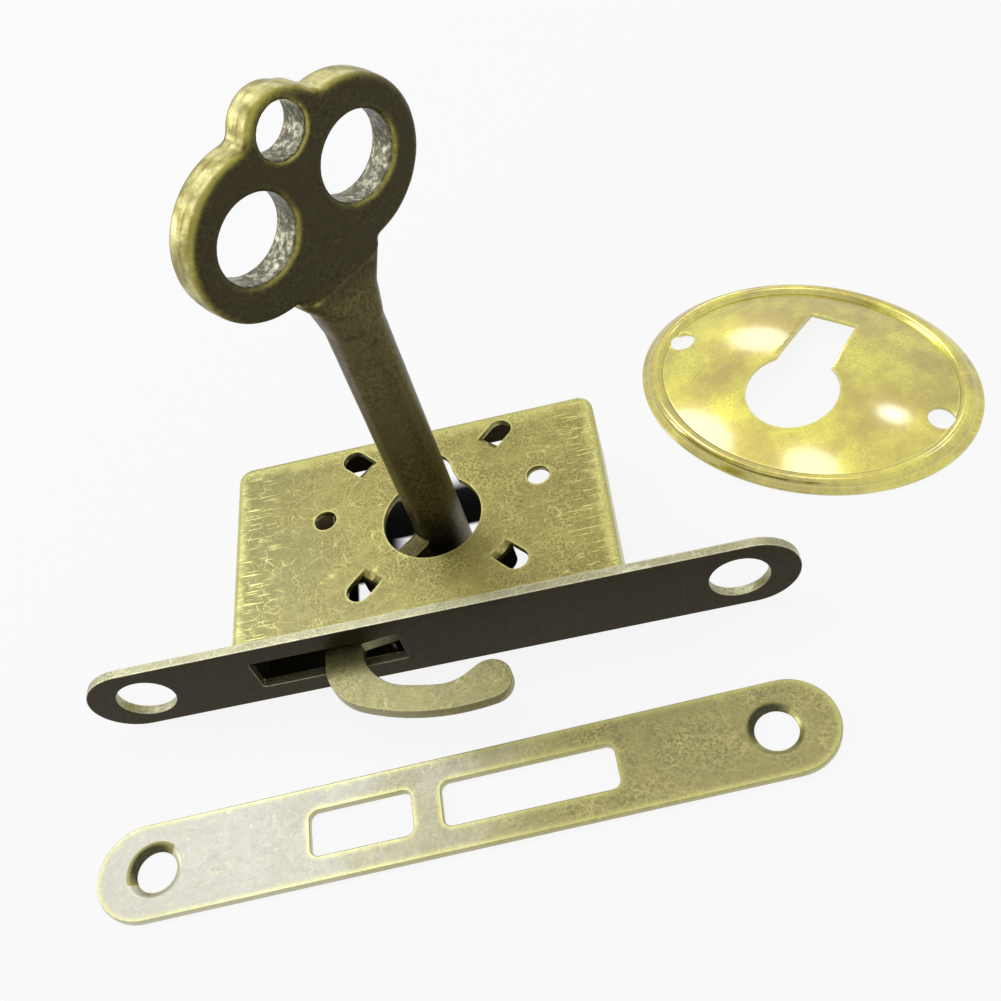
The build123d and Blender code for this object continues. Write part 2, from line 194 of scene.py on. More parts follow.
class Graph:
    """A node tree that is written as one value feeding the next."""

    def __init__(self, owner: Tree | bpy.types.Material | bpy.types.World) -> None:
        """Start in a new group, or in the emptied nodes of a material or world.

        Args:
            owner: The group, material or world.
        """
        self.tree = owner
        if not isinstance(owner, Tree):
            owner.use_nodes = True
            self.tree = owner.node_tree
            self.tree.nodes.clear()

    def node(self, kind: str, inputs: dict | None = None, **settings: object) -> bpy.types.Node:
        """Add a node, set its options and feed its inputs.

        Args:
            kind: The node's type.
            inputs: Sockets or plain values by input name or number.
            **settings: Options of the node.

        Returns:
            The new node.
        """
        made = self.tree.nodes.new(kind)
        for name, value in settings.items():
            setattr(made, name, value)
        for name, value in (inputs or {}).items():
            if isinstance(value, Socket):
                self.tree.links.new(value, made.inputs[name])
            else:
                made.inputs[name].default_value = value
        return made

    def attribute(self, zone: Zone) -> Socket:
        """Read one of the mesh's own values, and return it."""
        return self.node("ShaderNodeAttribute", attribute_name=zone.value).outputs["Fac"]

    def axes(self, vector: Socket) -> Outputs:
        """Split a vector, and return its parts by their axis."""
        return self.node("ShaderNodeSeparateXYZ", {0: vector}).outputs

    def math(self, operation: str, first: Socket | float, second: Socket | float = 0.0) -> Socket:
        """Combine two values, and return the result."""
        return self.node("ShaderNodeMath", {0: first, 1: second}, operation=operation).outputs[0]

    def line(self, value: Socket, slope: Socket | float, base: float) -> Socket:
        """Return a value times a slope, plus a base."""
        return self.node("ShaderNodeMath", {0: value, 1: slope, 2: base}, operation="MULTIPLY_ADD").outputs[0]

    def scaled(self, vector: Socket, factor: Point) -> Socket:
        """Stretch a vector by a factor for each axis, and return it."""
        made = self.node("ShaderNodeVectorMath", {0: vector, 1: factor}, operation="MULTIPLY")
        return made.outputs["Vector"]

    def dot(self, first: Socket, second: Socket | Point) -> Socket:
        """Return how far two directions agree, as their dot product."""
        made = self.node("ShaderNodeVectorMath", {0: first, 1: second}, operation="DOT_PRODUCT")
        return made.outputs["Value"]

    def noise(self, vector: Socket, scale: Socket | float, detail: float = 2.0, rough: float = 0.5) -> Socket:
        """Return noise about 0.5 at a scale, with some finer octaves of a strength."""
        inputs = {"Vector": vector, "Scale": scale, "Detail": detail, "Roughness": rough}
        return self.node("ShaderNodeTexNoise", inputs).outputs[0]

    def uneven(self, vector: Socket, scale: float, detail: float, rough: float, spread: float) -> Socket:
        """Return noise about 0, which spreads over this much in all."""
        return self.line(self.noise(vector, scale, detail, rough), spread, -spread / 2)

    def ramp(self, value: Socket, low: float, high: float) -> Socket:
        """Turn a value from low to high into 0 to 1, smooth at both ends, and return it."""
        inputs = {"Value": value, "From Min": low, "From Max": high}
        return self.node("ShaderNodeMapRange", inputs, interpolation_type="SMOOTHSTEP").outputs["Result"]

    def blend(self, share: Socket | float, first: Socket | Colour, second: Socket | Colour) -> Socket:
        """Mix two colours.

        Args:
            share: How much of the second colour shows.
            first: The colour at 0.
            second: The colour at 1.

        Returns:
            The mixed colour.
        """
        made = self.node("ShaderNodeMix", data_type="RGBA")
        for index, value in ((0, share), (6, first), (7, second)):
            if isinstance(value, Socket):
                self.tree.links.new(value, made.inputs[index])
            else:
                made.inputs[index].default_value = value if index == 0 else (*value, 1.0)
        return made.outputs[2]

    def laid(self, colour: Socket, over: Socket | Colour, share: Socket, strength: float) -> Socket:
        """Lay a colour over another, as a share and its strength say, and return what comes of it."""
        return self.blend(self.math("MULTIPLY", share, strength), colour, over)


class SharedEffects:
    """Node groups that several finishes use, each built once.

    Each pair is the stretch of a value over which an effect comes in.
    """

    blotch_shows: Span = (0.34, 0.66)
    fleck_shows: Span = (0.36, 0.64)
    speck_shows: Span = (0.56, 0.68)
    calm_shows: Span = (0.35, 0.65)
    hairline_fades: Span = (0.2, 1.0)
    hairline_gaps: Span = (-0.04, 0.06)
    hairline_width: float = 0.007
    hairline_layers: int = 5
    layer_scale: float = 0.3
    layer_step: Vector = Vector((31.7, 17.3, 11.9))
    layer_growth: float = 0.35
    scuff_shows: Span = (0.62, 0.67)
    scuff_shape: Point = (0.4, 5.5, 5.5)
    rim_shows: Span = (0.1, 0.24)
    near_shows: Span = (-0.01, 0.16)
    fine_share: float = 0.5

    def __init__(self) -> None:
        """Build every group."""
        self.mottle = self.build_mottle()
        self.hairlines = self.build_hairlines()
        self.scuffs = self.build_scuffs()
        self.edges = self.build_edges()
        self.grain = self.build_grain()

    @staticmethod
    def start(name: str, **inputs: float) -> tuple[Graph, Outputs]:
        """Start a group that reads a position in millimetres and some values.

        Args:
            name: The group's name.
            **inputs: Each value that comes in, with its usual value.

        Returns:
            The graph and the sockets that come in.
        """
        tree = bpy.data.node_groups.new(name, "ShaderNodeTree")
        tree.interface.new_socket("Position", in_out="INPUT", socket_type="NodeSocketVector")
        for label, value in inputs.items():
            made = tree.interface.new_socket(label, in_out="INPUT", socket_type="NodeSocketFloat")
            made.default_value = value
        graph = Graph(tree)
        return graph, graph.node("NodeGroupInput").outputs

    @staticmethod
    def close(graph: Graph, **outputs: Socket) -> Tree:
        """Finish a group.

        Args:
            graph: Its graph.
            **outputs: The values that come out.

        Returns:
            The group.
        """
        for name in outputs:
            graph.tree.interface.new_socket(name, in_out="OUTPUT", socket_type="NodeSocketFloat")
        graph.node("NodeGroupOutput", outputs)
        return graph.tree

    def build_mottle(self) -> Tree:
        """Draw blotches, fine flecks and dark specks of patina.

        Returns:
            The group.
        """
        graph, entry = self.start("Mottle", BlotchScale=0.3, FleckScale=2.6)
        place = entry["Position"]
        blotch = graph.ramp(graph.noise(place, entry["BlotchScale"], 4.0, 0.62), *self.blotch_shows)
        calm = graph.line(graph.ramp(graph.noise(place, 0.22), *self.calm_shows), 0.75, 0.3)
        fleck = graph.ramp(graph.noise(place, entry["FleckScale"], 5.0, 0.7), *self.fleck_shows)
        fleck = graph.line(graph.math("SUBTRACT", fleck, 0.5), calm, 0.5)
        speck = graph.ramp(graph.noise(place, 4.6, 2.0, 0.6), *self.speck_shows)
        speck = graph.math("MULTIPLY", speck, calm)
        return self.close(graph, Blotch=blotch, Fleck=fleck, Speck=speck)

    def build_hairlines(self) -> Tree:
        """Draw fine curved scratches in a loose web.

        Returns:
            The group.
        """
        graph, entry = self.start("Hairlines", Cover=0.5)
        gap_low = graph.line(entry["Cover"], -0.4, 0.72)
        total: Socket | float = 0.0
        for layer in range(self.hairline_layers):
            step = {0: entry["Position"], 1: self.layer_step * layer}
            moved = graph.node("ShaderNodeVectorMath", step, operation="ADD").outputs["Vector"]
            scale = self.layer_scale * (1 + self.layer_growth * layer)
            wave = graph.math("SUBTRACT", graph.noise(moved, scale, 0.0, 0.0), 0.5)
            away = graph.math("DIVIDE", graph.math("ABSOLUTE", wave), self.hairline_width)
            line = graph.math("SUBTRACT", 1.0, graph.ramp(away, *self.hairline_fades))
            gaps = graph.math("SUBTRACT", graph.noise(moved, 0.7, 1.0), gap_low)
            line = graph.math("MULTIPLY", line, graph.ramp(gaps, *self.hairline_gaps))
            total = graph.math("MAXIMUM", line, total)
        return self.close(graph, Lines=total)

    def build_scuffs(self) -> Tree:
        """Draw short straight scratches along X.

        Returns:
            The group.
        """
        graph, entry = self.start("Scuffs")
        stretched = graph.scaled(entry["Position"], self.scuff_shape)
        lines = graph.ramp(graph.noise(stretched, 1.0, 1.0), *self.scuff_shows)
        return self.close(graph, Lines=lines)

    def build_edges(self) -> Tree:
        """Tell how near a point is to an edge, broken up as wear is.

        Returns:
            The group.
        """
        graph, entry = self.start("Edges", Reach=0.6)
        reach = graph.math("MULTIPLY", entry["Reach"], MM)
        rounded = graph.node("ShaderNodeBevel", {"Radius": reach}, samples=6).outputs["Normal"]
        normal = graph.node("ShaderNodeNewGeometry").outputs["Normal"]
        away = graph.math("SUBTRACT", 1.0, graph.dot(rounded, normal))
        ragged = graph.math("ADD", away, graph.uneven(entry["Position"], 1.4, 3.0, 0.6, 0.12))
        rim, near = graph.ramp(ragged, *self.rim_shows), graph.ramp(ragged, *self.near_shows)
        return self.close(graph, Rim=rim, Near=near)

    def build_grain(self) -> Tree:
        """Raise and sink a cast or tumbled skin.

        Returns:
            The group.
        """
        graph, entry = self.start("Grain")
        coarse = graph.noise(entry["Position"], 0.9)
        fine = graph.math("MULTIPLY", graph.noise(entry["Position"], 6.0, 3.0, 0.6), self.fine_share)
        return self.close(graph, Height=graph.math("ADD", coarse, fine))


class Skin(Graph):
    """A material's graph, with its place in millimetres and the shared effects at hand."""

    def __init__(self, made: bpy.types.Material, effects: SharedEffects) -> None:
        """Start the material.

        Args:
            made: The material.
            effects: The shared node groups.
        """
        super().__init__(made)
        self.effects = effects
        self.place = self.scaled(self.node("ShaderNodeTexCoord").outputs["Object"], (1 / MM,) * 3)

    def effect(self, tree: Tree, **inputs: float) -> Outputs:
        """Place a shared group with its values, and return its outputs."""
        return self.node("ShaderNodeGroup", {"Position": self.place, **inputs}, node_tree=tree).outputs

    def metal(self, colour: Socket, rough: Socket, height: Socket, depth: float, coat: dict) -> None:
        """Finish the material as metal.

        Args:
            colour: Its colour.
            rough: Its roughness.
            height: The height of its grain.
            depth: How many millimetres a height of 1 is.
            coat: The values of its clear coat, by input name.
        """
        normal = self.node("ShaderNodeBump", {"Height": height, "Distance": depth * MM}).outputs["Normal"]
        inputs = {"Base Color": colour, "Metallic": 1.0, "Roughness": rough, "Normal": normal, **coat}
        shader = self.node("ShaderNodeBsdfPrincipled", inputs)
        self.node("ShaderNodeOutputMaterial", {"Surface": shader.outputs[0]})


@dataclass(frozen=True)
class Finish:
    """What every finish has: a name, two colours and a way to be painted."""

    name: str
    light: Colour
    dark: Colour

    def paint(self, skin: Skin) -> None:
        """Draw the finish on a skin, each kind in its own way."""
        raise NotImplementedError


@dataclass(frozen=True)
class AntiqueBrass(Finish):
    """Brass with a brown patina that is rubbed through on its edges and scratches.

    Places and widths are in millimetres, and scales are features in a millimetre. A finish may add
    painted glare and shade towards one end along X, and painted shade far along Y.
    """

    tarnish: Colour
    worn: Colour
    blotch_scale: float = 0.28
    fleck_scale: float = 3.2
    tarnish_share: float = 0.5
    speck: Colour = srgb(72, 62, 30)
    specks: float = 0.0
    hairlines: float = 0.6
    hairline_cover: float = 0.5
    scuffs: float = 0.0
    scuffs_from: float = 0.0
    scuffs_fade: float = 3.0
    # A painted glare and shade colour, which shows towards one end along X.
    painted_glare_shade: Colour = (0.0, 0.0, 0.0)
    painted_glare_shade_share: float = 0.0
    painted_glare_shade_left: float = 0.0
    painted_glare_shade_right: float = 0.0
    painted_glare_shade_uneven: float = 30.0
    painted_glare_shade_flecks: Span = (0.2, 0.8)
    bend_out: float = 0.0
    bend_far: float = 0.0
    bend_width: float = 1.4
    bend_far_share: float = 0.7
    bend_uneven: float = 2.4
    bend_flecks: Span = (0.5, 0.3)
    # A painted shade, which darkens a piece far along Y.
    painted_shade: Colour = (0.0, 0.0, 0.0)
    painted_shade_from: float = 0.0
    painted_shade_fade: float = 1.0
    edge_reach: float = 0.6
    edge_strength: float = 0.9
    near_strength: float = 0.35
    roughness: float = 0.45
    worn_roughness: float = 0.32
    rough_spread: float = 0.2
    coat: float = 0.4
    coat_roughness: float = 0.25
    coat_ior: float = 1.5
    bump: float = 0.012

    def paint(self, skin: Skin) -> None:
        """Draw the patina, with uneven roughness that is smoother where the metal is bare.

        Args:
            skin: The skin to draw on.
        """
        colour, wear = self.colours(skin)
        rough = skin.line(wear, self.worn_roughness - self.roughness, self.roughness)
        rough = skin.math("ADD", rough, skin.uneven(skin.place, 1.1, 3.0, 0.6, self.rough_spread))
        grain = skin.effect(skin.effects.grain)["Height"]
        coat = {"Coat Weight": self.coat, "Coat Roughness": self.coat_roughness, "Coat IOR": self.coat_ior}
        skin.metal(colour, rough, grain, self.bump, coat)

    def colours(self, skin: Skin) -> tuple[Socket, Socket]:
        """Draw the patina's colours, the bright metal where it is rubbed, and painted light and shade.

        Args:
            skin: The skin to draw on.

        Returns:
            The colour and the share of bare metal.
        """
        mottle = skin.effect(skin.effects.mottle, BlotchScale=self.blotch_scale, FleckScale=self.fleck_scale)
        fleck = mottle["Fleck"]
        colour = skin.blend(fleck, self.dark, self.light)
        colour = skin.laid(colour, self.tarnish, mottle["Blotch"], self.tarnish_share)
        if self.specks:
            colour = skin.laid(colour, self.speck, mottle["Speck"], self.specks)
        # Painted light and shade towards the left end: a glare on the strike, a darker tone on the case.
        if self.painted_glare_shade_share:
            colour = skin.laid(colour, self.painted_glare_shade, self.painted_glare_shade_zone(skin, fleck), self.painted_glare_shade_share)
        lines = skin.effect(skin.effects.hairlines, Cover=self.hairline_cover)["Lines"]
        lines = skin.math("MULTIPLY", lines, self.hairlines)
        if self.scuffs:
            lines = skin.math("MAXIMUM", lines, self.scuff_lines(skin))
        colour = skin.blend(lines, colour, self.worn)
        if self.bend_out:
            colour = skin.blend(self.bend_zone(skin, fleck), colour, self.worn)
        rim, near = self.edge_masks(skin)
        colour = skin.laid(colour, self.worn, near, self.near_strength)
        colour = skin.laid(colour, self.worn, rim, self.edge_strength)
        # Painted shade, darker far along Y, where a piece lies inside the case.
        if self.painted_shade_from:
            depth = skin.axes(skin.place)["Y"]
            painted_shade_share = skin.ramp(depth, self.painted_shade_from, self.painted_shade_from + self.painted_shade_fade)
            colour = skin.blend(painted_shade_share, colour, self.painted_shade)
        return colour, skin.math("MAXIMUM", rim, lines)

    def bend_zone(self, skin: Skin, fleck: Socket) -> Socket:
        """Find where a folded sheet is rubbed beside its bends, at both ends of X and far along Y.

        Args:
            skin: The skin to draw on.
            fleck: The fine flecks, which still show through.

        Returns:
            The share of rubbed metal.
        """
        axes = skin.axes(skin.place)
        uneven = skin.uneven(skin.place, 0.9, 3.0, 0.5, self.bend_uneven)
        out = skin.math("ADD", skin.math("ABSOLUTE", axes["X"]), uneven)
        out = skin.ramp(out, self.bend_out, self.bend_out + self.bend_width)
        far = skin.math("ADD", axes["Y"], uneven)
        far = skin.ramp(far, self.bend_far, self.bend_far + self.bend_width)
        rubbed = skin.math("MAXIMUM", out, skin.math("MULTIPLY", far, self.bend_far_share))
        return skin.math("MULTIPLY", rubbed, skin.line(fleck, *self.bend_flecks))

    def painted_glare_shade_zone(self, skin: Skin, fleck: Socket) -> Socket:
        """Find where a painted glare and shade colour shows, towards a piece's left end.

        Args:
            skin: The skin to draw on.
            fleck: The fine flecks, which still show through.

        Returns:
            The share of that painted colour.
        """
        uneven = skin.uneven(skin.place, 0.15, 2.0, 0.5, self.painted_glare_shade_uneven)
        along = skin.math("ADD", skin.axes(skin.place)["X"], uneven)
        share = skin.ramp(along, self.painted_glare_shade_right, self.painted_glare_shade_left)
        return skin.math("MULTIPLY", share, skin.line(fleck, *self.painted_glare_shade_flecks))

    def scuff_lines(self, skin: Skin) -> Socket:
        """Draw straight scratches towards the two ends of a piece along X.

        Args:
            skin: The skin to draw on.

        Returns:
            The lines, as strong as they show.
        """
        lines = skin.effect(skin.effects.scuffs)["Lines"]
        out = skin.math("ABSOLUTE", skin.axes(skin.place)["X"])
        out = skin.ramp(out, self.scuffs_from, self.scuffs_from + self.scuffs_fade)
        return skin.math("MULTIPLY", skin.math("MULTIPLY", lines, out), self.scuffs)

    def edge_masks(self, skin: Skin) -> tuple[Socket, Socket]:
        """Return the masks of the rubbed edges and of the zone beside them."""
        edges = skin.effect(skin.effects.edges, Reach=self.edge_reach)
        return edges["Rim"], edges["Near"]


@dataclass(frozen=True)
class CastBrass(AntiqueBrass):
    """Antique brass on a casting, with a painted highlight on its outer wall and other colours in its holes.
    """

    # The outer wall's colours, a painted highlight where it faces the upper left.
    wall_light: Colour = srgb(222, 216, 150)
    wall_dark: Colour = srgb(150, 140, 78)
    wall_share: float = 0.85
    wall_scale: float = 0.5
    shank_light: Colour = srgb(112, 103, 60)
    shank_dark: Colour = srgb(62, 56, 32)
    shank_share: float = 0.75
    hole_light: Colour = srgb(188, 186, 164)
    hole_dark: Colour = srgb(98, 95, 78)
    sparkle_shows: Span = (0.42, 0.72)
    rim_shows: Span = (0.4, 1.3)
    near_shows: Span = (0.1, 0.8)
    wear_uneven: float = 0.5

    def colours(self, skin: Skin) -> tuple[Socket, Socket]:
        """Draw patina with a painted highlight on the outer wall, and bare grey hole walls with painted
        light.

        Args:
            skin: The skin to draw on.

        Returns:
            The colour and the share of bare metal.
        """
        colour, wear = super().colours(skin)
        mottle = skin.effect(skin.effects.mottle, BlotchScale=self.wall_scale)
        shank = skin.blend(mottle["Fleck"], self.shank_dark, self.shank_light)
        colour = skin.laid(colour, shank, skin.attribute(Zone.SHANK), self.shank_share)
        # Painted highlight on the outer wall, as the outer_wall attribute shares it out.
        wall = skin.blend(mottle["Blotch"], self.wall_dark, self.wall_light)
        colour = skin.laid(colour, wall, skin.attribute(Zone.OUTER), self.wall_share)
        sparkle = skin.ramp(skin.noise(skin.place, 2.0, 3.0, 0.6), *self.sparkle_shows)
        hole = skin.blend(sparkle, self.hole_dark, self.hole_light)
        return skin.blend(skin.attribute(Zone.HOLE), colour, hole), wear

    def edge_masks(self, skin: Skin) -> tuple[Socket, Socket]:
        """Draw where hands have rubbed the casting, scaled by a painted highlight, as its own attribute says.

        Args:
            skin: The skin to draw on.

        Returns:
            The masks of the rim itself and of the zone beside it.
        """
        uneven = skin.uneven(skin.place, 1.6, 4.0, 0.65, self.wear_uneven)
        wear = skin.math("ADD", skin.attribute(Zone.WEAR), uneven)
        return skin.ramp(wear, *self.rim_shows), skin.ramp(wear, *self.near_shows)


@dataclass(frozen=True)
class SinkShadeBrass(AntiqueBrass):
    """Antique brass with painted shade where a countersink's wall turns towards one side."""

    plate: Colour = srgb(142, 136, 86)
    side: Point = (*SINK_SIDE, 0.0)
    painted_shade_shows: Span = (0.05, 0.4)

    def colours(self, skin: Skin) -> tuple[Socket, Socket]:
        """Draw painted shade in patina colours, which fades into the plate's own colour round the
        countersink.

        Args:
            skin: The skin to draw on.

        Returns:
            The colour and the share of bare metal.
        """
        colour, wear = super().colours(skin)
        turned = skin.dot(skin.node("ShaderNodeNewGeometry").outputs["Normal"], self.side)
        # Painted shade: darkest where a wall faces SINK_SIDE.
        return skin.blend(skin.ramp(turned, *self.painted_shade_shows), self.plate, colour), wear


@dataclass(frozen=True)
class PlainSteel(Finish):
    """Turned or rolled steel of the small inner parts."""

    roughness: float = 0.36
    rough_spread: float = 0.16
    turning: Point = (0.4, 0.4, 9.0)
    bump: float = 0.004

    def paint(self, skin: Skin) -> None:
        """Draw fine turning marks.

        Args:
            skin: The skin to draw on.
        """
        colour = skin.blend(skin.effect(skin.effects.mottle)["Fleck"], self.dark, self.light)
        turned = skin.noise(skin.scaled(skin.place, self.turning), 1.0)
        rough = skin.line(turned, self.rough_spread, self.roughness - self.rough_spread / 2)
        skin.metal(colour, rough, turned, self.bump, {})


@dataclass
class Viewpoint:
    """The camera, where the photographer held it."""

    lens: float = 45.234
    sensor: float = 36.0
    place: Point = (24.348 * MM, -73.582 * MM, 109.788 * MM)
    heading: float = 9.790
    elevation: float = 50.115
    roll: float = -19.715

    def build(self) -> None:
        """Make the camera and set it as the scene's."""
        data = bpy.data.cameras.new("camera")
        data.lens = self.lens
        data.sensor_width = self.sensor
        data.clip_start = 1 * MM
        data.clip_end = 10.0
        camera = add_object("camera", data)
        turn = Matrix.Rotation(math.radians(self.heading), 4, "Z")
        tilt = Matrix.Rotation(math.radians(90 - self.elevation), 4, "X")
        lean = Matrix.Rotation(math.radians(self.roll), 4, "Z")
        camera.matrix_world = Matrix.Translation(self.place) @ turn @ tilt @ lean
        bpy.context.scene.camera = camera


@dataclass(frozen=True)
class Softbox:
    """One soft lamp, given by the direction it shines from."""

    name: str
    azimuth: float
    elevation: float
    size: float
    power: float
    colour: Colour = (1.0, 1.0, 1.0)
    distance: float = 0.55

    def build(self, aim: Vector) -> None:
        """Make the lamp.

        Args:
            aim: The point that it shines at.
        """
        data = bpy.data.lights.new(self.name, "AREA")
        data.shape = "DISK"
        data.size = self.size
        data.energy = self.power
        data.color = self.colour
        lamp = add_object(self.name, data)
        turn, rise = math.radians(self.azimuth), math.radians(self.elevation)
        out = math.cos(rise)
        towards = Vector((math.sin(turn) * out, math.cos(turn) * out, math.sin(rise)))
        place = Matrix.Translation(aim + towards * self.distance)
        lamp.matrix_world = place @ towards.to_track_quat("Z", "Y").to_matrix().to_4x4()


@dataclass
class Studio:
    """Pale table, white surroundings and a few soft lamps.

    A painted-shadow box is a part of the table, in millimetres, where the table is painted dark as
    shade inside the case: left, right, near, far and how softly its painted shadow ends.
    """

    aim: Point = (15 * MM, 5 * MM, 0.0)
    table_half: float = 1.2
    table_gap: float = 0.02 * MM
    table_white: float = 0.82
    # The colour of the painted shadow inside the case.
    table_painted_shadow: float = 0.02
    shadow_share: float = 0.12
    ambient: float = 0.5
    # Boxes where the table gets a painted shadow, inside the case.
    painted_shadow_boxes: tuple[tuple[float, float, float, float, float], ...] = (
        (-19.0, 9.6, 18.4, 25.2, 1.3),
        (-19.0, -4.2, 13.0, 25.2, 1.3),
        (-16.0, -9.7, 8.5, 14.0, 0.15),
    )
    painted_shadow_edge: float = 0.3
    lamps: tuple[Softbox, ...] = (
        Softbox("window_lamp", -40, 55, 0.21, 0.45, (0.9, 0.95, 1.0)),
        Softbox("overhead_lamp", 5, 78, 0.11, 0.12),
        Softbox("right_lamp", 42, 54, 0.05, 0.05),
        Softbox("left_lamp", -78, 22, 0.2, 0.55, (1.0, 1.0, 0.97)),
        Softbox("far_lamp", 8, 33, 0.1, 0.09),
    )

    def build(self, level: float) -> None:
        """Make the table, the world and the lamps.

        Args:
            level: The height of the table's top.
        """
        self.build_table(level)
        self.build_world()
        for lamp in self.lamps:
            lamp.build(Vector(self.aim))

    @staticmethod
    def seen(graph: Graph) -> Socket:
        """Tell what the camera sees straight, in gloss or through glass.

        Args:
            graph: The graph that asks.

        Returns:
            1 where it does and 0 elsewhere.
        """
        path = graph.node("ShaderNodeLightPath").outputs
        straight = graph.math("MAXIMUM", path["Is Camera Ray"], path["Is Glossy Ray"])
        return graph.math("MAXIMUM", straight, path["Is Transmission Ray"])

    def build_table(self, level: float) -> None:
        """Make the table's top, white to the eye with a soft shadow and a painted shadow inside the case.

        Args:
            level: The height of the top.
        """
        shape = bmesh.new()
        bmesh.ops.create_grid(shape, x_segments=1, y_segments=1, size=self.table_half)
        bmesh.ops.translate(shape, verts=shape.verts, vec=(0, 0, level - self.table_gap))
        table = mesh_object("table", shape)
        table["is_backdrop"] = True
        paint = bpy.data.materials.new("table_white")
        graph = Graph(paint)
        painted_shade_share = self.painted_table_shadow(graph)
        # Painted shadow: the table is painted dark inside the case.
        colour = graph.blend(painted_shade_share, (self.table_white,) * 3, (self.table_painted_shadow,) * 3)
        matt = graph.node("ShaderNodeBsdfDiffuse", {"Color": colour})
        glow = graph.node("ShaderNodeEmission", {"Color": (1, 1, 1, 1), "Strength": 1.0})
        share = graph.math("MULTIPLY", self.seen(graph), 1 - self.shadow_share)
        share = graph.math("MULTIPLY", share, graph.math("SUBTRACT", 1.0, painted_shade_share))
        mixed = graph.node("ShaderNodeMixShader", {0: share, 1: matt.outputs[0], 2: glow.outputs[0]})
        graph.node("ShaderNodeOutputMaterial", {"Surface": mixed.outputs[0]})
        table.data.materials.append(paint)

    def painted_table_shadow(self, graph: Graph) -> Socket:
        """Tell where the table gets a painted shadow, as it lies unlit inside the case.

        Args:
            graph: The table's graph.

        Returns:
            The share of painted shadow.
        """
        place = graph.node("ShaderNodeNewGeometry").outputs["Position"]
        axes = graph.axes(graph.scaled(place, (1 / MM,) * 3))
        dark: Socket | float = 0.0
        for left, right, near, far, fade in self.painted_shadow_boxes:
            share: Socket | float = 1.0
            for axis, side, soft in (
                ("X", left, fade),
                ("X", right, -fade),
                ("Y", near, self.painted_shadow_edge),
                ("Y", far, -fade),
            ):
                share = graph.math("MULTIPLY", graph.ramp(axes[axis], side - soft, side + soft), share)
            dark = graph.math("MAXIMUM", share, dark)
        return dark

    def build_world(self) -> None:
        """Make the surroundings, white to the eye and softer as a light."""
        world = bpy.data.worlds.new("surroundings")
        graph = Graph(world)
        strength = graph.line(self.seen(graph), 1 - self.ambient, self.ambient)
        glow = graph.node("ShaderNodeBackground", {"Color": (1, 1, 1, 1), "Strength": strength})
        graph.node("ShaderNodeOutputWorld", {"Surface": glow.outputs[0]})
        bpy.context.scene.world = world


class Label(NamedTuple):
    """A piece's name, the node that it stands for, the body that it rides on and its slot."""

    name: str
    node: str
    body: Body
    slot: Slot


class Workshop:
    """What every sub-assembly needs to make its pieces: the nodes and the shared effects."""

    weld: float = 0.0005 * MM
    flat: float = math.radians(0.3)
    sharp: float = math.radians(30)
    flatness: int = 100

    def __init__(self, frame: dict, effects: SharedEffects) -> None:
        """Open the workshop.

        Args:
            frame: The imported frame.
            effects: The shared node groups.
        """
        self.nodes = frame["nodes"]
        self.effects = effects
        self.materials: dict[str, bpy.types.Material] = {}

    def dress(self, piece: Piece, finish: Finish) -> None:
        """Give a piece one more finish, whose material is built once.

        Args:
            piece: The piece.
            finish: The finish.
        """
        if finish.name not in self.materials:
            self.materials[finish.name] = bpy.data.materials.new(finish.name)
            finish.paint(Skin(self.materials[finish.name], self.effects))
        piece.data.materials.append(self.materials[finish.name])

    def merged(self, node: str) -> Shape:
        """Copy a node's shape with its loose triangles joined into faces.

        Args:
            node: The node's name.

        Returns:
            The copy.
        """
        shape = bmesh.new()
        shape.from_mesh(self.nodes[node].data)
        bmesh.ops.remove_doubles(shape, verts=shape.verts, dist=self.weld)
        bmesh.ops.dissolve_limit(shape, angle_limit=self.flat, verts=shape.verts, edges=shape.edges)
        return shape

    def finish_piece(self, shape: Shape, label: Label) -> Piece:
        """Turn a shape into a smooth piece that stands for a node and rides on its body.

        Args:
            shape: The shape, which is used up.
            label: What the piece is.

        Returns:
            The piece.
        """
        name, node, body, slot = label
        piece = mesh_object(name, shape)
        for face in piece.data.polygons:
            face.use_smooth = True
        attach(piece, body.value)
        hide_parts(node)
        LOG.info("%s: %d faces, rides on %s", name, len(piece.data.polygons), body.value)
        return piece

    def softened(self, shape: Shape, width: float) -> None:
        """Round every outer edge of a shape a little.

        Args:
            shape: The shape to round.
            width: How far the rounding reaches from the edge.
        """
        edges = [
            edge
            for edge in shape.edges
            if len(edge.link_faces) == 2 and edge.calc_face_angle(0.0) > self.sharp and edge.is_convex
        ]
        bmesh.ops.bevel(
            shape, geom=edges, offset=width, segments=2, profile=0.5, affect="EDGES", material=-1
        )
        shape.normal_update()

    def creased(self, piece: Piece, angle: float) -> None:
        """Keep a piece's inner creases crisp in its shading.

        Args:
            piece: The piece, which is shaded smooth.
            angle: The least angle of a crease, in degrees.
        """
        shape = bmesh.new()
        shape.from_mesh(piece.data)
        least = math.radians(angle)
        for edge in shape.edges:
            if len(edge.link_faces) == 2 and edge.calc_face_angle_signed(0.0) < -least:
                edge.smooth = False
        shape.to_mesh(piece.data)
        shape.free()
        piece.modifiers["weighted"].keep_sharp = True

    def sheet_piece(
        self, label: Label, edge: float, finishes: tuple[Finish, ...], lined: Picker | None = None
    ) -> Piece:
        """Make a piece of stamped sheet or plate with softened edges and flat faces kept flat.

        Args:
            label: What the piece is.
            edge: The width of its edge rounding.
            finishes: Its finish, and a second one if some of its faces differ.
            lined: Whether a face takes that second finish.

        Returns:
            The piece.
        """
        shape = self.merged(label.node)
        self.softened(shape, edge)
        if lined:
            for face in shape.faces:
                face.material_index = int(lined(face))
        piece = self.finish_piece(shape, label)
        weighted = piece.modifiers.new("weighted", "WEIGHTED_NORMAL")
        weighted.weight = self.flatness
        for finish in finishes:
            self.dress(piece, finish)
        return piece


@dataclass
class Assembly:
    """A sub-assembly, which is made in the workshop."""

    shop: Workshop


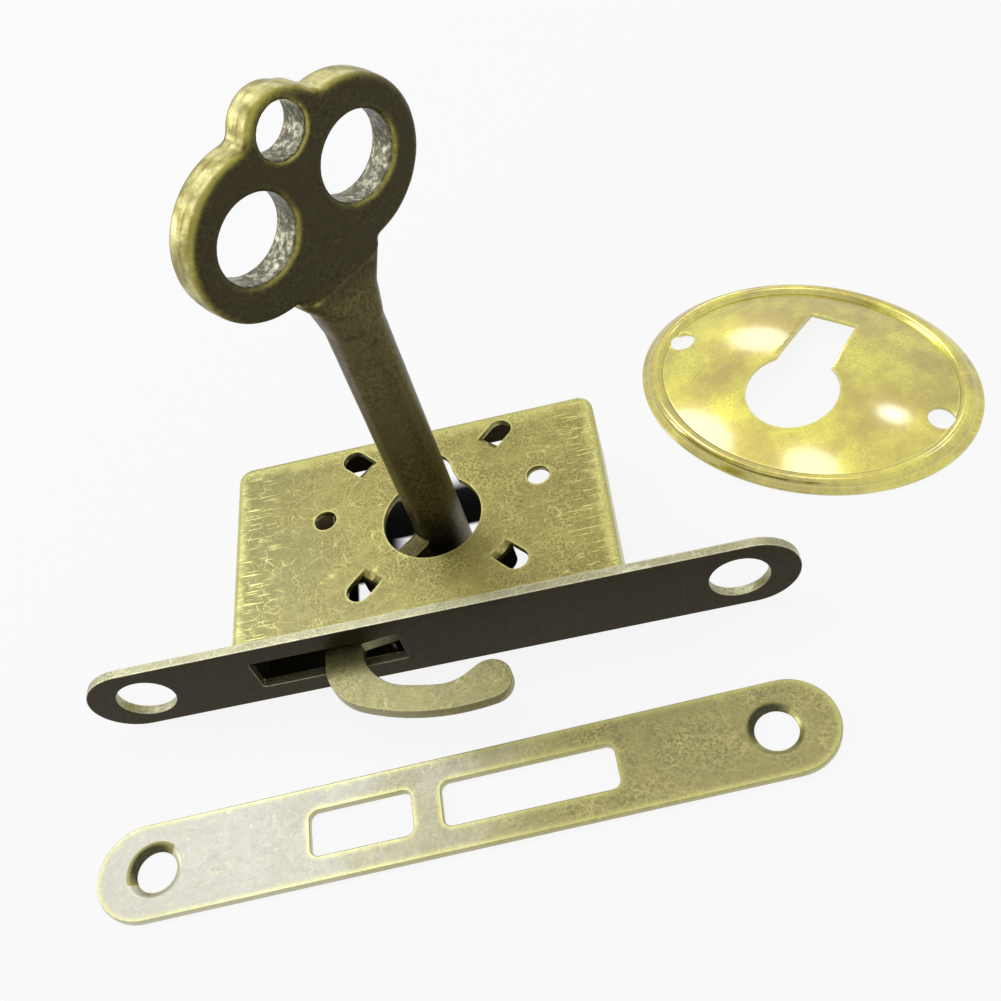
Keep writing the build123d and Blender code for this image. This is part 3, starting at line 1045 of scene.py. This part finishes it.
CASE_FINISH = AntiqueBrass(
    name="case_antique_brass",
    light=srgb(176, 166, 96),
    dark=srgb(116, 106, 56),
    tarnish=srgb(120, 109, 58),
    worn=srgb(210, 206, 128),
    specks=0.6,
    hairlines=0.42,
    hairline_cover=0.6,
    scuffs=0.9,
    scuffs_from=15.0,
    near_strength=0.6,
    # Painted shade, darker towards the case's left end.
    painted_glare_shade=srgb(122, 118, 74),
    painted_glare_shade_share=0.85,
    painted_glare_shade_left=-24.0,
    painted_glare_shade_right=0.0,
    bend_out=19.3,
    bend_far=23.4,
)
# Painted shade for the faces inside the case and the back plate's inner side.
INSIDE_SHADE_FINISH = AntiqueBrass(
    name="inside_painted_shade_brass",
    light=srgb(78, 70, 42),
    dark=srgb(46, 41, 25),
    tarnish=srgb(52, 46, 30),
    worn=srgb(84, 77, 48),
    hairlines=0.1,
    edge_strength=0.3,
    roughness=0.6,
    worn_roughness=0.5,
    coat=0.0,
)
# Painted reflection: the faceplate's front is painted dark, as the dark surroundings it would mirror.
PLATE_REFLECTION_FINISH = AntiqueBrass(
    name="faceplate_painted_dark_reflection",
    light=srgb(57, 50, 32),
    dark=srgb(42, 36, 22),
    tarnish=srgb(48, 42, 29),
    worn=srgb(120, 112, 66),
    hairlines=0.05,
    edge_reach=0.3,
    edge_strength=0.7,
    coat=0.0,
)
# The faceplate's rim and hole walls: rubbed wear and a painted highlight on faces that turn away from its
# front.
RIM_HIGHLIGHT_FINISH = AntiqueBrass(
    name="faceplate_rim_wear_and_highlight",
    light=srgb(190, 188, 154),
    dark=srgb(140, 135, 98),
    tarnish=srgb(126, 120, 84),
    worn=srgb(246, 244, 220),
    hairlines=0.3,
    edge_reach=0.4,
)
CLAW_FINISH = AntiqueBrass(
    name="claw_antique_brass",
    light=srgb(164, 158, 102),
    dark=srgb(122, 115, 72),
    tarnish=srgb(124, 119, 86),
    worn=srgb(220, 217, 164),
    specks=0.4,
    hairlines=0.25,
    edge_reach=0.3,
    # Painted shade on the part of the claw that lies inside the case.
    painted_shade=srgb(34, 30, 18),
    painted_shade_from=0.6,
)
STRIKE_FINISH = AntiqueBrass(
    name="strike_antique_brass",
    light=srgb(172, 164, 100),
    dark=srgb(114, 105, 56),
    tarnish=srgb(132, 124, 72),
    worn=srgb(198, 194, 112),
    specks=0.35,
    hairlines=0.4,
    edge_reach=1.5,
    edge_strength=0.6,
    near_strength=0.5,
    roughness=0.5,
    coat=1.0,
    coat_roughness=0.3,
    # Painted glare, paler and greyer towards the strike's left end.
    painted_glare_shade=srgb(178, 176, 167),
    painted_glare_shade_share=0.95,
    painted_glare_shade_left=-22.0,
    painted_glare_shade_right=14.0,
)
# Painted shade on the countersink walls that face SINK_SIDE.
SINK_SHADE_FINISH = SinkShadeBrass(
    name="strike_countersink_painted_shade",
    light=srgb(84, 82, 62),
    dark=srgb(52, 50, 36),
    tarnish=srgb(60, 58, 44),
    worn=srgb(150, 148, 120),
    hairlines=0.2,
    edge_reach=0.2,
    coat=0.0,
)
COVER_FINISH = AntiqueBrass(
    name="cover_lacquered_gold",
    light=srgb(224, 215, 66),
    dark=srgb(188, 178, 38),
    tarnish=srgb(146, 122, 30),
    worn=srgb(232, 228, 130),
    blotch_scale=0.13,
    tarnish_share=0.75,
    hairlines=0.2,
    hairline_cover=0.3,
    roughness=0.32,
    worn_roughness=0.25,
    coat=1.0,
    coat_roughness=0.12,
    coat_ior=2.1,
    bump=0.006,
)
# Painted reflection: the key's flat faces are painted dark, as the dark surroundings they would mirror.
KEY_FINISH = CastBrass(
    name="key_painted_dark_reflection_brass",
    light=srgb(70, 64, 38),
    dark=srgb(47, 42, 25),
    tarnish=srgb(56, 50, 31),
    worn=srgb(172, 164, 78),
    blotch_scale=0.5,
    hairlines=0.05,
    near_strength=0.25,
    roughness=0.44,
    coat=0.15,
    bump=0.03,
)
STEEL_FINISH = PlainSteel("plain_steel", light=srgb(168, 165, 156), dark=srgb(112, 108, 98))


@dataclass
class LockCase(Assembly):
    """Faceplate, folded case and back plate, which are one rigid lock body."""

    plate_edge: float = 0.1 * MM
    case_edge: float = 0.07 * MM
    skin: float = 0.48 * MM
    level_gap: float = 0.01 * MM
    rim_turn: float = 0.9

    def build(self) -> None:
        """Make the three sheet pieces, with painted shade on the inside of the case."""
        low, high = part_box("case_body")
        left, right = low.x + self.skin, high.x - self.skin
        far, top = high.y - self.skin, high.z - self.skin
        back_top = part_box("back_plate")[1].z

        def is_rim(face: Face) -> bool:
            """Whether a face of the faceplate is its rim or the wall of a hole, which take wear and a painted
            highlight.
            """
            return abs(face.normal.y) < self.rim_turn

        def is_inside(face: Face) -> bool:
            """Whether a face of the case looks into it."""
            x, y, z = face.calc_center_median()
            return left < x < right and y < far and z < top

        def looks_up(face: Face) -> bool:
            """Whether a face of the back plate is its inner side."""
            return face.calc_center_median().z > back_top - self.level_gap

        # The faceplate's front takes a painted dark reflection and its rim a painted highlight; the case's
        # inside takes painted shade.
        plate, case = (PLATE_REFLECTION_FINISH, RIM_HIGHLIGHT_FINISH), (CASE_FINISH, INSIDE_SHADE_FINISH)
        for name, node, slot, edge, finishes, lined in (
            ("faceplate_stamped", "faceplate", Slot.PLATE, self.plate_edge, plate, is_rim),
            ("case_folded", "case_body", Slot.CASE, self.case_edge, case, is_inside),
            ("back_plate_stamped", "back_plate", Slot.CASE, self.case_edge, case, looks_up),
        ):
            self.shop.sheet_piece(Label(name, node, Body.LOCK, slot), edge, finishes, lined)


@dataclass
class Works(Assembly):
    """The small steel parts behind the faceplate, kept as they are with a better finish."""

    nodes: tuple[str, ...] = ("detent_cam", "claw_post", "leaf_spring", "spring_post")

    def build(self) -> None:
        """Dress the nodes."""
        for name in self.nodes:
            node = self.shop.nodes[name]
            node.data.materials.clear()
            self.shop.dress(node, STEEL_FINISH)
            LOG.info("%s: dressed", name)


@dataclass
class ClawBolt(Assembly):
    """The claw that swings out of the slot."""

    edge: float = 0.1 * MM

    def build(self) -> None:
        """Make the claw."""
        label = Label("claw_blanked", "claw_bolt", Body.CLAW, Slot.CLAW)
        self.shop.sheet_piece(label, self.edge, (CLAW_FINISH,))


@dataclass
class StrikePlate(Assembly):
    """The loose plate that the claw hooks into, with its holes' places in millimetres."""

    edge: float = 0.06 * MM
    hole_places: tuple[Span, ...] = ((-32.014, -17.946), (32.534, -15.354))
    sink_reach: float = 4.4 * MM
    sink_lean: float = 0.95
    sink_turn: float = 0.1

    def build(self) -> None:
        """Make the strike plate, with painted shade on the far side of its countersinks."""
        holes = [Vector(place) * MM for place in self.hole_places]
        side = Vector(SINK_SIDE)

        def is_sunk(face: Face) -> bool:
            """Whether a face is the far side of a countersink."""
            near = min((face.calc_center_median().xy - hole).length for hole in holes) < self.sink_reach
            return near and face.normal.z < self.sink_lean and face.normal.xy.dot(side) > self.sink_turn

        label = Label("strike_stamped", "strike_plate", Body.LOCK, Slot.STRIKE)
        self.shop.sheet_piece(label, self.edge, (STRIKE_FINISH, SINK_SHADE_FINISH), is_sunk)


@dataclass
class KeyholeCover(Assembly):
    """The oval pressed cover with its beaded rim."""

    edge: float = 0.08 * MM
    crease: float = 20.0

    def build(self) -> None:
        """Make the cover, with a crisp line where its dome meets the bead."""
        label = Label("cover_pressed", "escutcheon", Body.LOCK, Slot.COVER)
        self.shop.creased(self.shop.sheet_piece(label, self.edge, (COVER_FINISH,)), self.crease)


@dataclass
class CastKey(Assembly):
    """The cast key, with soft edges, a rough skin and rough walls in its holes.

    The web is an outline beside the bow's middle, along it and up. Each of its layers has a depth
    across the bow and an inset. All four are in millimetres.
    """

    voxel: float = 0.19 * MM
    smoothing: int = 4
    dent_depth: float = 0.025 * MM
    dent_scale: float = 0.7
    axis: Span = (2.2 * MM, 13.0 * MM)
    turned: float = 42.6
    bow_level: float = 49.15 * MM
    neck_drop: float = 8.6 * MM
    lobe_hole_out: float = 5.8 * MM
    lobe_hole: float = 3.9 * MM
    crown_hole_rise: float = 6.6 * MM
    crown_hole: float = 2.4 * MM
    mouth: float = 0.5 * MM
    wall_turn: float = 0.35
    wall_fade: float = 0.5
    seam_height: float = 0.07 * MM
    seam_width: float = 0.22 * MM
    hole_roughness: float = 0.07 * MM
    hole_scale: float = 1.8
    # The painted light on the hole walls: its share where a wall faces sideways, and its least share.
    hole_light: float = 0.6
    hole_dark: float = 0.25
    web: tuple[Span, ...] = (
        (1.2, 9.75), (2.2, 9.45), (2.9, 9.1), (3.4, 8.7), (4.0, 8.0), (4.8, 7.5), (3.6, 6.5), (2.65, 7.4),
    )
    web_layers: tuple[Span, ...] = ((-1.55, 0.7), (-1.0, 0.1), (1.0, 0.1), (1.55, 0.7))
    valley_left: float = 1.2 * MM
    valley_right: float = 5.0 * MM
    valley_low: float = 7.0 * MM
    valley_wear: float = 2.4
    shank_fade: float = 2.0 * MM
    # The painted highlight on the key, from the upper left: its direction, middle, slope and least share.
    painted_light_towards: Span = (-0.6, 0.8)
    painted_light_middle: float = 0.5
    painted_light_slope: float = 0.9
    painted_light_least: float = 0.12
    wear_smoothing: int = 3

    def __post_init__(self) -> None:
        """Work out the bow's middle, and the directions along and across the bow."""
        turn = math.radians(self.turned)
        self.middle = Vector((*self.axis, self.bow_level))
        self.along = Vector((math.cos(turn), math.sin(turn), 0))
        self.across = Vector((-math.sin(turn), math.cos(turn), 0))

    def build(self) -> None:
        """Make the key."""
        label = Label("key_cast", "key", Body.KEY, Slot.KEY)
        self.shop.dress(self.shop.finish_piece(self.shape(), label), KEY_FINISH)

    def shape(self) -> Shape:
        """Recast the node's shape in small even faces.

        Returns:
            The shape with its wear written to each point.
        """
        rough = self.shop.merged("key")
        self.add_web(rough)
        blank = mesh_object("key_blank", rough)
        remesh = blank.modifiers.new("recast", "REMESH")
        remesh.mode = "VOXEL"
        remesh.voxel_size = self.voxel
        relax = blank.modifiers.new("relax", "SMOOTH")
        relax.iterations = self.smoothing
        bpy.context.view_layer.update()
        cast = bmesh.new()
        cast.from_object(blank, bpy.context.evaluated_depsgraph_get())
        mesh = blank.data
        bpy.data.objects.remove(blank)
        bpy.data.meshes.remove(mesh)
        cast.normal_update()
        self.write_zones(cast)
        self.roughen(cast)
        self.write_wear(cast)
        return cast

    def add_web(self, shape: Shape) -> None:
        """Fill the valley between the crown and the right ring, where the casting is full.

        Args:
            shape: The shape to add to.
        """
        rings = []
        for depth, inset in self.web_layers:
            places = [
                self.middle + (self.along * step + self.across * depth + Vector((0, 0, rise - inset))) * MM
                for step, rise in self.web
            ]
            rings.append([shape.verts.new(place) for place in places])
        faces = [shape.faces.new(rings[0]), shape.faces.new(list(reversed(rings[-1])))]
        for ring, following in zip(rings, rings[1:]):
            for index, vert in enumerate(ring):
                before = index - 1
                faces.append(shape.faces.new((vert, ring[before], following[before], following[index])))
        bmesh.ops.recalc_face_normals(shape, faces=faces)

    def bow_place(self, vert: Vert) -> Point:
        """Return a point's place along the bow, across it and above its middle."""
        step = vert.co - self.middle
        return step.dot(self.along), step.dot(self.across), step.z

    def edgewise(self, vert: Vert) -> float:
        """Return how far the skin at a point turns away from the bow's flat sides."""
        return 1 - abs(vert.normal.dot(self.across))

    def rubbed(self, normal: Vector) -> float:
        """Return a painted highlight's share for a surface that faces this way, most at the bow's upper left.
        """
        towards = self.painted_light_towards[0] * normal.dot(self.along) + self.painted_light_towards[1] * normal.z
        return clamp(self.painted_light_middle + self.painted_light_slope * towards, self.painted_light_least)

    def write_zones(self, cast: Shape) -> None:
        """Write where the bow's outer wall, the walls of its holes and the shank are, with painted light on
        the walls.

        Args:
            cast: The recast shape.
        """
        holes = (
            (-self.lobe_hole_out, 0.0, self.lobe_hole),
            (self.lobe_hole_out, 0.0, self.lobe_hole),
            (0.0, self.crown_hole_rise, self.crown_hole),
        )
        zones = (Zone.OUTER, Zone.HOLE, Zone.SHANK)
        outer, inner, shank = [cast.verts.layers.float.new(zone.value) for zone in zones]
        for vert in cast.verts:
            along, _, rise = self.bow_place(vert)
            share = clamp((self.edgewise(vert) - self.wall_turn) / self.wall_fade)
            share = share if rise > -self.neck_drop else 0
            in_hole = any(
                math.hypot(along - middle, rise - level) < radius + self.mouth
                for middle, level, radius in holes
            )
            # Painted light and shade on the hole walls: lighter where a wall faces up.
            painted_hole_light = clamp(self.hole_light + self.hole_light * vert.normal.z, self.hole_dark)
            vert[inner] = share * painted_hole_light if in_hole else 0
            vert[outer] = 0 if in_hole else share * self.rubbed(vert.normal)
            vert[shank] = clamp((-self.neck_drop - rise) / self.shank_fade)

    def roughen(self, cast: Shape) -> None:
        """Let the bow's outer wall fall away from the mould's parting line, and dent the skin.

        Args:
            cast: The recast shape.
        """
        outer, inner = [cast.verts.layers.float[zone.value] for zone in (Zone.OUTER, Zone.HOLE)]
        for vert in cast.verts:
            across = self.bow_place(vert)[1] / self.seam_width
            vert.co -= vert.normal * self.seam_height * vert[outer] * (1 - math.exp(-(across**2)))
            place = vert.co / MM
            dent = 0.5 + 0.5 * noise.noise(place * self.dent_scale)
            vert.co -= vert.normal * self.dent_depth * dent
            vert.co += vert.normal * self.hole_roughness * vert[inner] * noise.noise(place * self.hole_scale)

    @staticmethod
    def bulge(vert: Vert) -> float:
        """Measure how strongly the skin bulges at a point.

        Args:
            vert: The point.

        Returns:
            The bulge over a millimetre, which is below 0 in a hollow.
        """
        total = 0.0
        for edge in vert.link_edges:
            step = edge.other_vert(vert).co - vert.co
            total -= step.dot(vert.normal) / max(step.length_squared, 1e-12)
        return 2 * MM * total / max(len(vert.link_edges), 1)

    @staticmethod
    def averaged(vert: Vert, values: list[float]) -> float:
        """Return the mean of a point's value and those of its neighbours."""
        near = [values[edge.other_vert(vert).index] for edge in vert.link_edges]
        return (values[vert.index] + sum(near)) / (1 + len(near))

    def write_wear(self, cast: Shape) -> None:
        """Write where hands rub the key, which is where it bulges, scaled by a painted highlight from the
        upper left.

        Args:
            cast: The recast shape.
        """
        cast.normal_update()
        cast.verts.index_update()
        bulges = [self.bulge(vert) for vert in cast.verts]
        for _ in range(self.wear_smoothing):
            bulges = [self.averaged(vert, bulges) for vert in cast.verts]
        layer = cast.verts.layers.float.new(Zone.WEAR.value)
        for vert in cast.verts:
            # Wear on bulges, scaled by the painted highlight.
            vert[layer] = bulges[vert.index] * self.rubbed(vert.normal)
            along, _, rise = self.bow_place(vert)
            if self.valley_left < along < self.valley_right and rise > self.valley_low:
                vert[layer] = max(vert[layer], clamp(self.valley_wear * self.edgewise(vert)))


def clear_scene() -> None:
    """Remove whatever the scene starts with."""
    for item in list(bpy.data.objects):
        bpy.data.objects.remove(item)


def main() -> None:
    """Build the lock, piece by piece, and its studio."""
    logging.basicConfig(level=logging.INFO, format="%(message)s")
    clear_scene()
    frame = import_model()
    cad_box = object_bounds()
    bpy.context.scene.view_settings.view_transform = "Standard"
    shop = Workshop(frame, SharedEffects())
    for assembly in (LockCase, Works, ClawBolt, CastKey, StrikePlate, KeyholeCover):
        assembly(shop).build()
    Viewpoint().build()
    Studio().build(cad_box[0].z)


if __name__ == "__main__":
    main()
